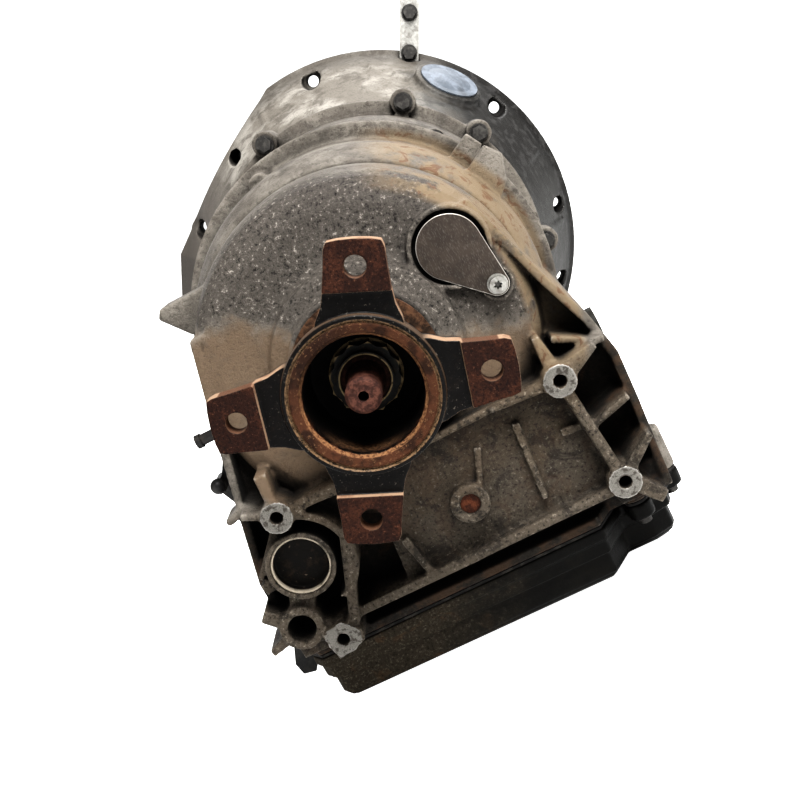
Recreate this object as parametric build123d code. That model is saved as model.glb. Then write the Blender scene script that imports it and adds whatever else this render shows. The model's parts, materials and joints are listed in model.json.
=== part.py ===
from build123d import *
import os
from math import acos, asin, atan2, cos, degrees, hypot, pi, radians, sin, tan

# Longitudinal automatic transmission with a torque converter and six forward gears.
# Row frame: millimetres, +Y along the main axis to the engine, +Z up, the oil pan below.
# The origin is the centre of the engine face. A "depth" is the distance ahead of the
# output flange's rim, so Y = depth - LENGTH.

# ---------------------------------------------------------------- driving dimensions
LENGTH = 645.0              # output flange rim to engine face
BELL_JOINT = 472.0          # depth of the joint between main case and bell housing

FLANGE_PCD = 144.0
FLANGE_RIGHT_ANGLE = -15.0
FLANGE_SPREAD = 81.1        # angle between the right and the top arm
PAD_THICKNESS = 11.0
HOLE_PAIR_A = 6.0
HOLE_PAIR_B = 6.25

MOUNT_PLANE = 87.0          # depth of the machined rear bosses
MOUNT_TAP_RADIUS = 4.25     # core hole of an M10 thread
MOUNT_BOSS_RADIUS = 11.3
MOUNT_TAP_LENGTHS = {"upper_right": 28.0, "lower_right": 25.0, "upper_left": 30.0, "lower_left": 22.0}
REAR_BOSSES = {
    "upper_right": (101.7, -66.4),
    "lower_right": (111.1, -146.6),
    "upper_left": (-101.7, -65.9),
    "lower_left": (-103.3, -162.6),
}
CENTRE_BOSS = (14.5, -117.3)
CORE_PLUG_AT = (-105.2, -104.7)
LOCATING_BORE_AT = (-125.7, -144.7)
LOCATING_BORE_RADIUS = 9.75
COVER_CENTRE = (76.6, 39.0)
COVER_BOLT_AT = (93.5, 5.0)

BARREL_BORE = 114.0         # inner radius of the gear chamber
REAR_BORE = 106.0           # inner radius behind the rear brake
CHAMBER_ROOF = 122.0        # the valve chamber stays outside this radius
PAN_FACE = -178.0           # height of the pan joint
PAN_BOTTOM = -222.0
SKIRT = 6.0                 # thickness of the chamber's side walls

ENGINE_PCD = 390.0
ENGINE_BOLTS = 6
ENGINE_BOLT_RADIUS = 6.5
ENGINE_BOLT_START = 25.0
SIDE_HOLES = [(-86.0, 160.5), (192.0, -38.0)]   # smaller holes between the engine bolts
SIDE_HOLE_RADIUS = 5.5
DOWEL_HOLES = [(194.5, 24.0), (-204.0, -14.0)]
BELL_RADIUS = 213.0
JOINT_BOLT_CIRCLE = 160.0   # radius of the bolts between case and bell
JOINT_BOLT_ANGLES = (28, 55, 104, 155, 185, 345)
BARREL_BOLT_AT = (137.0, 43.0, 300.0)   # radius, angle and depth of the bolt on the barrel

FRONT_MODULE = 1.5
FRONT_SUN = 37
FRONT_PLANET = 17
FRONT_RING = 71
REAR_MODULE = 2.0
SMALL_SUN = 31
SHORT_PLANET = 20
LONG_PLANET = 22
LARGE_SUN = 41
REAR_RING = 85
PLANET_SETS = 3
PRESSURE_ANGLE = radians(20)
ADDENDUM = 0.9
DEDENDUM = 1.2
RING_ADDENDUM = 0.8
RING_DEDENDUM = 1.15
FLANK_RELIEF = 0.11         # each flank is this many modules thin, for backlash

INPUT_RADIUS = 14.0
OUTPUT_RADIUS = 20.0
PIN_RADIUS = 10.5
SELECTOR_DEPTH = 215.0
SELECTOR_HEIGHT = -92.0
DETENT_ARM = 41.0
VALVE_AT = (-118.0, -133.0)

PAWL_PIVOT = (68.0, -60.0)

parts = {}


# ---------------------------------------------------------------- helpers
def rod(radius, d0, d1, x=0.0, z=0.0):
    """Round bar along Y between two depths."""
    middle = (d0 + d1) / 2 - LENGTH
    return Pos(x, middle, z) * Rot(90, 0, 0) * Cylinder(radius, d1 - d0)


def tube(outer, inner, d0, d1, x=0.0, z=0.0):
    """Ring along Y between two depths."""
    return rod(outer, d0, d1, x, z) - rod(inner, d0 - 1, d1 + 1, x, z)


def turned(profile):
    """Body of revolution about the main axis from (radius, depth) points."""
    points = [(radius, depth - LENGTH) for radius, depth in profile]
    return revolve(make_face(Polyline(*points, close=True)), Axis.Y)


def outline_face(outline, corner=0.0):
    """Closed face from points, with its corners rounded when a radius is given."""
    face = make_face(Polyline(*outline, close=True))
    if corner:
        face = fillet(face.vertices(), corner)
    return face


def prism(outline, d0, d1, corner=0.0):
    """Extrude an (x, z) outline between two depths."""
    face = outline_face(outline, corner)
    return extrude(Plane.XZ.offset(LENGTH - d1) * face, d1 - d0)


def block(x0, x1, d0, d1, z0, z1):
    """Rectangular block between two corners."""
    centre = ((x0 + x1) / 2, (d0 + d1) / 2 - LENGTH, (z0 + z1) / 2)
    return Pos(*centre) * Box(x1 - x0, d1 - d0, z1 - z0)


def rib(start, end, width, d0, d1, end_width=None):
    """Straight web between two (x, z) points."""
    end_width = end_width or width
    dx, dz = end[0] - start[0], end[1] - start[1]
    size = hypot(dx, dz)
    nx, nz = -dz / size / 2, dx / size / 2
    outline = [
        (start[0] + nx * width, start[1] + nz * width),
        (end[0] + nx * end_width, end[1] + nz * end_width),
        (end[0] - nx * end_width, end[1] - nz * end_width),
        (start[0] - nx * width, start[1] - nz * width),
    ]
    return prism(outline, d0, d1)


def polar(radius, angle):
    """Point (x, z) at a radius and an angle in degrees from +X towards +Z."""
    return radius * cos(radians(angle)), radius * sin(radians(angle))


def joined(pieces):
    """Fuse a list of shapes."""
    result = pieces[0]
    for piece in pieces[1:]:
        result = result + piece
    return result


def hex_bolt(size, length, head_height, flange=True):
    """Bolt along +Z: shank above z = 0, flanged hexagon head below."""
    bolt = Pos(0, 0, length / 2) * Cylinder(size / 2, length)
    bolt += Pos(0, 0, -head_height / 2) * extrude(RegularPolygon(size * 0.86, 6), head_height / 2, both=True)
    if flange:
        bolt += Pos(0, 0, -size * 0.12) * Cylinder(size * 1.05, size * 0.24)
    return bolt


def torx_bolt(size, length, head_height):
    """Bolt along +Z with a round head that has a six-lobed socket."""
    bolt = Pos(0, 0, length / 2) * Cylinder(size / 2, length)
    bolt += Pos(0, 0, -head_height / 2) * Cylinder(size * 0.8, head_height)
    bolt += Pos(0, 0, -size * 0.11) * Cylinder(size, size * 0.22)
    socket = Cylinder(size * 0.27, head_height)
    for lobe in range(6):
        socket += Rot(0, 0, lobe * 60) * Pos(size * 0.3, 0, 0) * Cylinder(size * 0.1, head_height)
    return bolt - Pos(0, 0, -head_height) * socket


def along_y(shape, depth, x, z):
    """Turn a +Z shape to +Y and put its origin at a depth and a place."""
    return Pos(x, depth - LENGTH, z) * Rot(-90, 0, 0) * shape


def involute(angle):
    """Involute function."""
    return tan(angle) - angle


def flank(teeth, module, radii, inward):
    """Half-width angle of a tooth at each radius; the tooth of a ring points inward."""
    pitch = teeth * module / 2
    base = pitch * cos(PRESSURE_ANGLE)
    half = pi / 2 / teeth - FLANK_RELIEF * module / pitch
    sign = -1 if inward else 1
    angles = []
    for radius in radii:
        curve = involute(acos(min(1.0, base / max(radius, base))))
        angles.append(half + sign * (involute(PRESSURE_ANGLE) - curve))
    return angles


def toothed_outline(teeth, module, phase, inward=False):
    """Outline of an involute gear with flat facets."""
    pitch = teeth * module / 2
    if inward:
        root, tip = pitch + RING_DEDENDUM * module, pitch - RING_ADDENDUM * module
        radii = [root, pitch + module / 2, pitch, tip]
    else:
        root, tip = pitch - DEDENDUM * module, pitch + ADDENDUM * module
        start = max(root, pitch * cos(PRESSURE_ANGLE))
        radii = [root, start + 0.02, pitch, pitch + module / 2, tip]
    angles = flank(teeth, module, radii, inward)
    points = []
    for tooth in range(teeth):
        centre = phase + tooth * 2 * pi / teeth
        rising = [(radius, centre - angle) for radius, angle in zip(radii, angles)]
        falling = [(radius, centre + angle) for radius, angle in zip(radii, angles)]
        for radius, angle in rising + falling[::-1]:
            points.append((radius * cos(angle), radius * sin(angle)))
    return points


def gear(teeth, module, d0, d1, phase=0.0, bore=0.0, x=0.0, z=0.0):
    """External gear between two depths, centred at (x, z)."""
    outline = [(x + px, z + pz) for px, pz in toothed_outline(teeth, module, phase)]
    body = prism(outline, d0, d1)
    if bore:
        body -= rod(bore, d0 - 1, d1 + 1, x, z)
    return body


def ring_gear(teeth, module, d0, d1, phase, outer):
    """Internal gear between two depths."""
    return rod(outer, d0, d1) - prism(toothed_outline(teeth, module, phase, True), d0 - 1, d1 + 1)


def phase_of_mate(teeth, phase, direction, mate_teeth):
    """Phase of a gear that meshes outside another one, seen in this direction."""
    turn = (direction - phase) * teeth / (2 * pi)
    return direction + pi - (0.5 - turn) * 2 * pi / mate_teeth


def phase_of_ring(planet_teeth, planet_phase, direction, ring_teeth):
    """Phase of a ring gear around a planet that lies in this direction."""
    turn = (direction - planet_phase) * planet_teeth / (2 * pi)
    return direction - (turn - 0.5) * 2 * pi / ring_teeth


def plate_stack(outer, inner, d0, d1, count, thickness):
    """Separate friction or steel plates, evenly spaced between two depths."""
    pitch = (d1 - d0) / count
    return [tube(outer, inner, d0 + i * pitch, d0 + i * pitch + thickness) for i in range(count)]


# ---------------------------------------------------------------- main case
BOX_OUTLINE = [
    (100, 60), (123, -6), (137, -42), (144, -72), (143, -110), (141, -150), (140, PAN_FACE),
    (-140, PAN_FACE), (-141, -150), (-142, -110), (-130, -58), (-118, -8), (-100, 60),
]
PAN_OUTLINE = [
    (-131, 112), (84, 112), (100, 136), (118, 136), (136, 142), (140, 152), (140, 452), (130, 462),
    (-130, 462), (-140, 452), (-140, 124),
]
PAN_SIDE_BOLTS = [160, 235, 310, 385, 448]
PAN_END_BOLTS = [(-80, 456), (0, 456), (80, 456)]
PAN_LUG = (114, 132)
PAN_BOLT_X = 141.0
PAN_LOBE = 9.5
PAN_BOLT_RADIUS = 3.2


def inset(outline, amount):
    """Shrink an outline towards its inside."""
    face = make_face(Polyline(*outline, close=True))
    smaller = offset(face, -amount, kind=Kind.INTERSECTION)
    return smaller


def pan_slab(amount, z0, z1):
    """Slab of the pan's outline, made smaller by an amount."""
    face = outline_face([(x, depth - LENGTH) for x, depth in PAN_OUTLINE])
    if amount:
        face = offset(face, -amount, kind=Kind.INTERSECTION)
    return extrude(Plane.XY.offset(z0) * face, z1 - z0)


def pan_bolt_places():
    """Every (x, depth) of a pan bolt."""
    sides = [(side * PAN_BOLT_X, depth) for side in (1, -1) for depth in PAN_SIDE_BOLTS]
    return sides + PAN_END_BOLTS + [PAN_LUG]


def upright(radius, z0, z1, x, depth):
    """Round bar along Z."""
    return Pos(x, depth - LENGTH, (z0 + z1) / 2) * Cylinder(radius, z1 - z0)


def make_main_case():
    barrel = turned([
        (0, 76), (48, 76), (49.5, 77.5), (49.5, 86), (53, 89), (60, 90.5), (62, 92.5), (62.5, 100),
        (65, 104), (70, 105.5), (97, 106.5), (106, 110), (112.5, 117), (116, 128), (117.5, 145),
        (118, 168), (114.5, 168.8), (114.5, 171.2), (119.5, 172), (123, 178), (128, 192),
        (130, 205), (130.5, 250), (138, 330), (145, 400), (147.5, 456), (159, 458.5),
        (160, 460), (160, BELL_JOINT), (0, BELL_JOINT),
    ])
    box = prism(BOX_OUTLINE, 128, 468, 3)
    case = barrel + box

    # side walls that stand behind the rear pockets
    shell = prism(BOX_OUTLINE, 110, 130, 3)
    hollow = extrude(Plane.XZ.offset(LENGTH - 131) * inset(BOX_OUTLINE, SKIRT), 22)
    shell = (shell - hollow) - block(-200, 200, 100, 131, -200, -171)
    case += shell

    # rear panel, its lower lip and the pan flange
    case += prism([(-48, -150), (104, -150), (108, -118), (96, -72), (60, -64), (20, -58), (-38, -66),
                   (-44, -110)], 104, 130)
    case += prism([(-92, -149.5), (100, -148.5), (103, -155.5), (-92, -156.5)], 95, 130)
    case += prism([(98, -149.4), (139.3, -148.6), (139.3, -171), (104, -171)], 112, 130)
    case += prism([(-138.4, -149.2), (-92, -149.2), (-92, -171), (-138.4, -171)], 104, 130)
    case += pan_slab(0, PAN_FACE, -170.5)
    for x, depth in pan_bolt_places():
        inside = (x, depth) in PAN_END_BOLTS
        case += upright(PAN_LOBE, PAN_FACE, -160 if inside else -146, x, depth)

    # ribs, webs and pockets of the rear face
    front = MOUNT_PLANE + 3
    r1, r2 = REAR_BOSSES["upper_right"], REAR_BOSSES["lower_right"]
    l1, l2 = REAR_BOSSES["upper_left"], REAR_BOSSES["lower_left"]
    webs = [
        (r1, (54, -65), 8, front, 4), (r1, r2, 7.5, front, 7.5), (r1, (99, -36), 12, front + 6, 5),
        (r1, (131, -56), 16, front + 2, 5), ((131, -56), (139, -57), 5, 100, 4),
        ((108, -44), (131, -56), 5, 104, 4), (r2, (139, -126), 10, front + 3, 5),
        (r2, (131, -171), 12, 95, 9), ((109, -106), (137, -98), 5, 97, 4.5),
        ((88, -102), (108, -104), 6, 100, 5), ((64, -82), (60, -138), 5.5, 99, 4.5),
        ((35, -86), (24, -114), 5, 100, 4), ((54, -65), (-10, -66), 5, 93, 5),
        (l1, (-99, -36), 6.5, front, 9), (l1, (-58, -66), 6, front, 9), (l1, (-124, -56), 6, front, 5),
        (l1, (-136, -104), 5, 99, 4), ((-124, -56), (-138, -60), 6, 104, 5),
        ((-66, -92), (-90, -152), 8, front, 7), ((-58, -66), (-20, -70), 9, front, 6),
        ((-20, -70), (-34, -92), 6, 98, 4), ((-36, -120), (-30, -151), 6, 96, 5),
        (l2, LOCATING_BORE_AT, 15, front + 4, 17), (l2, (-88, -152), 9, front, 8),
        (CORE_PLUG_AT, (-138, -112), 14, 99, 8), (CORE_PLUG_AT, LOCATING_BORE_AT, 24, 97, 14),
        (LOCATING_BORE_AT, (-146, -126), 12, 93, 9), (LOCATING_BORE_AT, (-154, -154), 11, 95, 5),
        (CORE_PLUG_AT, l1, 8, 99, 8),
    ]
    for start, end, width, near, end_width in webs:
        case += rib(start, end, width, near, 129, end_width)
    arc_rib = tube(39, 33.5, front, 129, *CORE_PLUG_AT)
    arc_rib -= block(-160, CORE_PLUG_AT[0] - 4, 80, 130, -160, -60)
    arc_rib -= block(-160, -60, 80, 130, -160, -136)
    case += arc_rib

    # machined bosses
    for x, z in REAR_BOSSES.values():
        case += rod(MOUNT_BOSS_RADIUS, MOUNT_PLANE, 129, x, z)
    x, z = l2
    case += prism([(x - 12, z + 10), (x + 4, z + 12.5), (x + 15, z + 1), (x + 13, z - 7), (x - 9, z - 12.5)],
                  MOUNT_PLANE, 129)
    case += rod(13.5, 94, 129, *CENTRE_BOSS)
    case += rod(24, 92, 129, *CORE_PLUG_AT)
    case += rod(15.5, 91, 129, *LOCATING_BORE_AT)

    # recess and boss of the small round cover
    cx, cz = COVER_CENTRE
    bx, bz = COVER_BOLT_AT
    case += rod(27, 99.5, 125, cx, cz)
    case += rod(11, 101, 125, bx, bz)
    case += rib(COVER_CENTRE, COVER_BOLT_AT, 38, 103.2, 125, 15)
    case -= rod(23.6, 98, 107.5, cx, cz)
    case += rod(19, 103.2, 125, cx, cz)
    case -= rib(COVER_CENTRE, COVER_BOLT_AT, 45, 98, 103.2, 18)
    case -= rod(8.4, 98, 103.2, bx, bz)

    # cast lugs on the barrel
    case += prism([(-86, 84), (-118, 84), (-122, 78), (-106, 58), (-88, 66)], 150, 176)
    case += prism([(98, 62), (128, 79), (137, 68), (132, 50), (120, 38), (100, 50)], 198, 206)
    case += prism([(98, 50), (126, 66), (132, 52), (122, 40)], 206, 226)
    case += prism([(92, 74), (122, 90), (129, 78), (118, 62), (100, 60)], 238, 246)
    for angle, radius, depth in [(43, 141, 300), (82, 135, 300), (104, 133, 250), (128, 140, 330)]:
        x, z = polar(radius - 4, angle)
        case += rod(9, depth, depth + 60, x, z)
    for angle in JOINT_BOLT_ANGLES:
        case += rod(12, 450, BELL_JOINT, *polar(JOINT_BOLT_CIRCLE, angle))
    for depth in (262, 318, 374):
        case += turned([(128, depth), (144, depth), (144, depth + 5), (128, depth + 5)]) & \
            block(-160, 160, depth - 1, depth + 6, -60, 160)

    # chambers
    case -= turned([(0, 118), (94, 118), (103, 124), (REAR_BORE, 134), (REAR_BORE, 202),
                    (BARREL_BORE, 206), (BARREL_BORE, BELL_JOINT + 1), (0, BELL_JOINT + 1)])
    case -= rod(40, 96, 119)
    case -= rod(40.02, 75, 90.5)
    case -= rod(33, 89, 97)
    chamber = extrude(Plane.XZ.offset(LENGTH - 455) * inset(BOX_OUTLINE, SKIRT), 455 - 136)
    chamber -= rod(CHAMBER_ROOF, 130, 460)
    chamber -= block(-200, 200, 130, 460, -60, 100)
    case -= chamber
    case -= block(-128, 128, 146, 452, PAN_FACE - 1, -150)
    case -= block(-36, 36, 150, 420, -140, -80)

    # holes
    for name, (x, z) in REAR_BOSSES.items():
        case -= rod(MOUNT_TAP_RADIUS, MOUNT_PLANE - 1, MOUNT_PLANE + MOUNT_TAP_LENGTHS[name], x, z)
    case -= rod(LOCATING_BORE_RADIUS, 90, 122, *LOCATING_BORE_AT)
    case -= rod(20.5, 90, 108, *CORE_PLUG_AT)
    case -= rod(6.8, 93, 108, *CENTRE_BOSS)
    case -= rod(3.3, 99, 118, bx, bz)
    for x, depth in pan_bolt_places():
        case -= upright(PAN_BOLT_RADIUS - 0.4, PAN_FACE - 1, PAN_FACE + 18, x, depth)
    for angle in JOINT_BOLT_ANGLES:
        case -= rod(4.3, 448, BELL_JOINT + 1, *polar(JOINT_BOLT_CIRCLE, angle))
        case -= rod(9.4, 425, 450, *polar(JOINT_BOLT_CIRCLE, angle))
    radius, angle, depth = BARREL_BOLT_AT
    case -= rod(4.3, depth - 1, depth + 30, *polar(radius, angle))
    case -= rod(9.4, depth - 12, depth, *polar(radius, angle))
    case -= rod(5.0, 109, 119, *PAWL_PIVOT)
    case -= Pos(-150, SELECTOR_DEPTH - LENGTH, SELECTOR_HEIGHT) * Rot(0, 90, 0) * Cylinder(6.4, 60)
    return case


parts["main_case"] = make_main_case()

# ---------------------------------------------------------------- bell housing
BELL_BULGE = [(-150, 120), (-171, 122), (-202, 99), (-226, 54), (-228, 10), (-212, -34), (-150, -60)]
BULGE_CENTRE = (-60, 30)
BULGE_TAPER = 0.62          # size of the bulge's back end against its front
PINION_POCKET = (-176.0, 44.0, 28.0)    # x, z and radius of the starter pinion's pocket
BOLT_POCKET_DEPTH = 622.0   # floor of the open pocket behind each hole of the flange
PLUG_ANGLE = 42.0
PLUG_RADIUS = 188.0
PLUG_DEPTH = 566.0
PLUG_TILT = 24.0
CHORD_ANGLE = 122.0         # direction of the flange's straight edge, seen from the axis
CHORD_DISTANCE = 195.5
BELL_RIB_ANGLES = (7, 46, 66, 103, 186, 225, 245, 285, 305, 344)


def bulge(d0, d1):
    """Tapered solid for the starter motor's pinion on the left of the bell."""
    faces = []
    for scale, depth in ((BULGE_TAPER, d0), (1, d1)):
        outline = [(BULGE_CENTRE[0] + (x - BULGE_CENTRE[0]) * scale,
                    BULGE_CENTRE[1] + (z - BULGE_CENTRE[1]) * scale) for x, z in BELL_BULGE]
        faces.append(Plane.XZ.offset(LENGTH - depth) * make_face(Polyline(*outline, close=True)))
    return loft(faces, ruled=True)


def radial(shape, radius, angle, depth, tilt=0):
    """Point a +Z shape outwards from the main axis, tilted towards the output end."""
    x, z = polar(radius, angle)
    return Pos(x, depth - LENGTH, z) * Rot(0, 90 - angle, 0) * Rot(tilt, 0, 0) * shape


def engine_bolt(index):
    """Place (x, z) of one hole of the engine's bolt circle."""
    return polar(ENGINE_PCD / 2, ENGINE_BOLT_START + index * 360 / ENGINE_BOLTS)


def chord_cut(shift):
    """Block beyond the straight upper left edge of the bell's flange."""
    normal = radians(CHORD_ANGLE)
    near, far, half = CHORD_DISTANCE - shift, 300, 150
    corners = [(near, -half), (near, half), (far, half), (far, -half)]
    outline = [(out * cos(normal) - side * sin(normal), out * sin(normal) + side * cos(normal))
               for out, side in corners]
    return prism(outline, BELL_JOINT - 2, LENGTH + 3)


def make_bell_housing():
    bolt_places = [engine_bolt(index) for index in range(ENGINE_BOLTS)]
    bell = turned([
        (0, BELL_JOINT), (160, BELL_JOINT), (160, 484), (156.5, 488), (208, 631), (BELL_RADIUS, 634),
        (BELL_RADIUS, LENGTH), (0, LENGTH),
    ])
    bell += bulge(520, 634)
    bell += prism(BELL_BULGE, 632, LENGTH)
    # the flange is cut straight at the upper left and at the bottom
    bell -= chord_cut(0)
    bell -= prism([(-140, -206), (140, -206), (140, -240), (-140, -240)], 470, LENGTH + 1)
    for angle in JOINT_BOLT_ANGLES:
        bell += rod(12, BELL_JOINT, 496, *polar(JOINT_BOLT_CIRCLE, angle))
    for angle in BELL_RIB_ANGLES:
        root, tip = polar(150, angle), polar(199, angle)
        web = rib(root, tip, 5, 500, 640)
        bell += web & turned([(140, 500), (160, 500), (204, 612), (204, 640), (140, 640)])
    bell += radial(Pos(0, 0, -6) * Cylinder(35, 20), PLUG_RADIUS, PLUG_ANGLE, PLUG_DEPTH, PLUG_TILT)
    bell -= radial(Pos(0, 0, 19) * Cylinder(32, 30), PLUG_RADIUS, PLUG_ANGLE, PLUG_DEPTH, PLUG_TILT)

    # the inside keeps a post around every hole
    posts = [rod(14, 556, LENGTH + 2, *place) for place in bolt_places]
    posts += [rod(12, 548, LENGTH + 2, *place) for place in SIDE_HOLES]
    inside = turned([
        (0, BELL_JOINT - 1), (122, BELL_JOINT - 1), (122, 484), (147.5, 490), (201, LENGTH + 1),
        (0, LENGTH + 1),
    ])
    bell -= inside - joined(posts) - chord_cut(8)
    bell -= rod(PINION_POCKET[2], 612, LENGTH + 1, *PINION_POCKET[:2])
    for place in bolt_places:
        bell -= rod(10.5, 545, BOLT_POCKET_DEPTH, *place)
        bell -= rod(ENGINE_BOLT_RADIUS, BOLT_POCKET_DEPTH - 1, LENGTH + 1, *place)
    for place in SIDE_HOLES:
        bell -= rod(8.5, 540, BOLT_POCKET_DEPTH, *place)
        bell -= rod(SIDE_HOLE_RADIUS, BOLT_POCKET_DEPTH - 1, LENGTH + 1, *place)
    for place in DOWEL_HOLES:
        bell -= rod(7.0, 636, LENGTH + 1, *place)
    for angle in JOINT_BOLT_ANGLES:
        bell -= rod(4.6, BELL_JOINT - 1, 492, *polar(JOINT_BOLT_CIRCLE, angle))
    bell -= radial(Pos(0, 0, -6) * Cylinder(27, 60), PLUG_RADIUS, PLUG_ANGLE, PLUG_DEPTH, PLUG_TILT)
    return bell


parts["bell_housing"] = make_bell_housing()
parts["dowel_sleeves"] = Compound([
    tube(6.98, 5.2, 637, LENGTH, x, z) for x, z in DOWEL_HOLES
])

plug = Cylinder(26.9, 5) + Pos(0, 0, 2.4) * Cylinder(30, 1.6)
plug += Pos(0, 0, -86) * Sphere(92) & Pos(0, 0, 6) * Cylinder(24, 8)
parts["access_plug"] = radial(Pos(0, 0, 2.6) * plug, PLUG_RADIUS, PLUG_ANGLE, PLUG_DEPTH, PLUG_TILT)

case_bolt = hex_bolt(8.0, 22, 6.5)
joint_bolts = [along_y(case_bolt, 450, *polar(JOINT_BOLT_CIRCLE, angle)) for angle in JOINT_BOLT_ANGLES]
joint_bolts += [along_y(case_bolt, BARREL_BOLT_AT[2], *polar(*BARREL_BOLT_AT[:2]))]

# lifting bracket, bolted to the top of the bell's flange
BRACKET_BASE = (117.0, 166.0)
BRACKET_TILT = 27.5
strap = Pos(0, 0, 42) * Box(20, 8, 96)
strap += Pos(0, 0, 92) * Rot(90, 0, 0) * Cylinder(13, 8)
strap += Pos(0, 6, 22) * Box(20, 14, 20)
strap -= Pos(0, 0, 92) * Rot(90, 0, 0) * Cylinder(6.5, 30)
strap -= Pos(0, 0, 48) * Rot(90, 0, 0) * Cylinder(4.4, 60)
strap -= Pos(0, 0, 8) * Rot(90, 0, 0) * Cylinder(4.4, 60)
bracket_place = Pos(BRACKET_BASE[0], 627 - LENGTH, BRACKET_BASE[1]) * Rot(0, BRACKET_TILT, 0)
parts["lifting_bracket"] = bracket_place * strap
bracket_bolts = [bracket_place * Pos(0, -4, height) * Rot(-90, 0, 0) * case_bolt for height in (8, 48)]
parts["bell_bolts"] = Compound(joint_bolts + bracket_bolts)
parts["bell_housing"] -= bracket_place * Pos(0, 0, 8) * Rot(90, 0, 0) * Cylinder(4.4, 40)
parts["bell_housing"] -= bracket_place * Pos(0, -14, 8) * Rot(90, 0, 0) * Cylinder(9.6, 20)
parts["bell_housing"] -= bracket_place * (Pos(0, 0, 42) * Box(20.4, 8.2, 96.4)
                                          + Pos(0, 6, 22) * Box(20.4, 14.2, 20.4))

# ---------------------------------------------------------------- small parts on the case
parts["core_plug"] = tube(20.45, 18.9, 94, 105, *CORE_PLUG_AT) + rod(20.45, 102.5, 105, *CORE_PLUG_AT)
parts["centre_plug"] = rod(6.75, 96.5, 104, *CENTRE_BOSS)

cover = joined([rod(21, 104.2, 107.2, *COVER_CENTRE), rod(7.8, 104.2, 107.2, *COVER_BOLT_AT)])
tangent_tilt = degrees(asin((21 - 7.8) / hypot(COVER_BOLT_AT[0] - COVER_CENTRE[0],
                                              COVER_BOLT_AT[1] - COVER_CENTRE[1])))
cover_axis = degrees(atan2(COVER_BOLT_AT[1] - COVER_CENTRE[1], COVER_BOLT_AT[0] - COVER_CENTRE[0]))
cover_corners = []
for radius, centre in ((21, COVER_CENTRE), (7.8, COVER_BOLT_AT)):
    for side in (1, -1):
        dx, dz = polar(radius, cover_axis + side * (90 - tangent_tilt))
        cover_corners.append((centre[0] + dx, centre[1] + dz))
web_corners = [cover_corners[0], cover_corners[2], cover_corners[3], cover_corners[1]]
cover += prism(web_corners, 104.2, 107.2)
cover = Pos(0, -4.0, 0) * cover
cover -= rod(3.4, 95, 110, *COVER_BOLT_AT)
cover_neck = rod(17.5, 103.2, 112, *COVER_CENTRE)
parts["sensor_cover"] = cover + cover_neck
parts["main_case"] -= rod(17.6, 100, 119, *COVER_CENTRE)
parts["sensor_cover_bolt"] = along_y(torx_bolt(6.6, 16, 5.5), 100.2, *COVER_BOLT_AT)

parts["output_seal"] = turned([(30.4, 79), (40, 79), (40, 89), (37, 89), (36, 81.5), (33, 81.5),
                               (31.5, 87), (30.4, 84)])

breather = Pos(-131, 176 - LENGTH, -14) * Rot(0, 90, 0) * Cylinder(4.2, 38)
breather += Pos(-148, 176 - LENGTH, -14) * Rot(0, 90, 0) * Cylinder(5.2, 4)
parts["breather_stub"] = breather
parts["main_case"] -= Pos(-131, 176 - LENGTH, -14) * Rot(0, 90, 0) * Cylinder(4.25, 39)

cable_bracket = prism([(-139.6, -166), (-142, -146), (-150, -150), (-158, -172), (-172, -204), (-170, -214),
                       (-160, -216), (-153, -200), (-151.5, -176), (-142, -168)], 178, 186, 1.2)
cable_bracket += prism([(-171, -212), (-166, -218), (-154, -208), (-158, -202)], 186, 208)
parts["cable_bracket"] = cable_bracket - parts["main_case"]
# ---------------------------------------------------------------- oil pan
pan = pan_slab(0, -188, PAN_FACE - 2)
for x, depth in pan_bolt_places():
    pan += upright(PAN_LOBE, -192, PAN_FACE - 2, x, depth)
pan += pan_slab(2.5, -199, -187)
pan += pan_slab(7, -216, -198)
pan += pan_slab(9, -219.5, -215.5)
pan += pan_slab(12.5, PAN_BOTTOM, -219)
pan -= pan_slab(15.5, PAN_BOTTOM + 4, PAN_FACE)
for x, depth in pan_bolt_places():
    pan -= upright(8, PAN_BOTTOM - 1, -192, x, depth)
    pan -= upright(PAN_BOLT_RADIUS + 0.3, -210, PAN_FACE, x, depth)
for x in (-84, -42, 0, 42, 84):
    pan += block(x - 2.5, x + 2.5, 165, 440, PAN_BOTTOM - 2.5, PAN_BOTTOM + 0.5)
pan += upright(13, PAN_BOTTOM - 2.5, PAN_BOTTOM + 8, -70, 200)
pan -= upright(6.1, PAN_BOTTOM - 4, PAN_BOTTOM + 9, -70, 200)
parts["oil_pan"] = pan

gasket = pan_slab(1, PAN_FACE - 2, PAN_FACE) - pan_slab(10, PAN_FACE - 3, PAN_FACE + 1)
for x, depth in pan_bolt_places():
    gasket += upright(PAN_LOBE - 0.8, PAN_FACE - 2, PAN_FACE, x, depth)
for x, depth in pan_bolt_places():
    gasket -= upright(PAN_BOLT_RADIUS, PAN_FACE - 3, PAN_FACE + 1, x, depth)
parts["pan_gasket"] = gasket

pan_bolt = torx_bolt(5.6, 27, 5.0)
pan_bolt += Pos(0, 0, 5.5) * Cylinder(PAN_BOLT_RADIUS + 0.2, 9)
parts["pan_bolts"] = Compound([Pos(x, depth - LENGTH, -192) * pan_bolt for x, depth in pan_bolt_places()])
parts["drain_plug"] = Pos(-70, 200 - LENGTH, PAN_BOTTOM - 2.5) * hex_bolt(12.0, 10, 6)

# ---------------------------------------------------------------- output flange
ARM_ANGLES = [FLANGE_RIGHT_ANGLE, FLANGE_RIGHT_ANGLE + FLANGE_SPREAD,
              FLANGE_RIGHT_ANGLE + 180, FLANGE_RIGHT_ANGLE + FLANGE_SPREAD + 180]
ARM_TIP = 86.5
ARM_HALF = 16.5
ARM_ROOT_HALF = 19.0
PAD_INNER = 58.0


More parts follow.
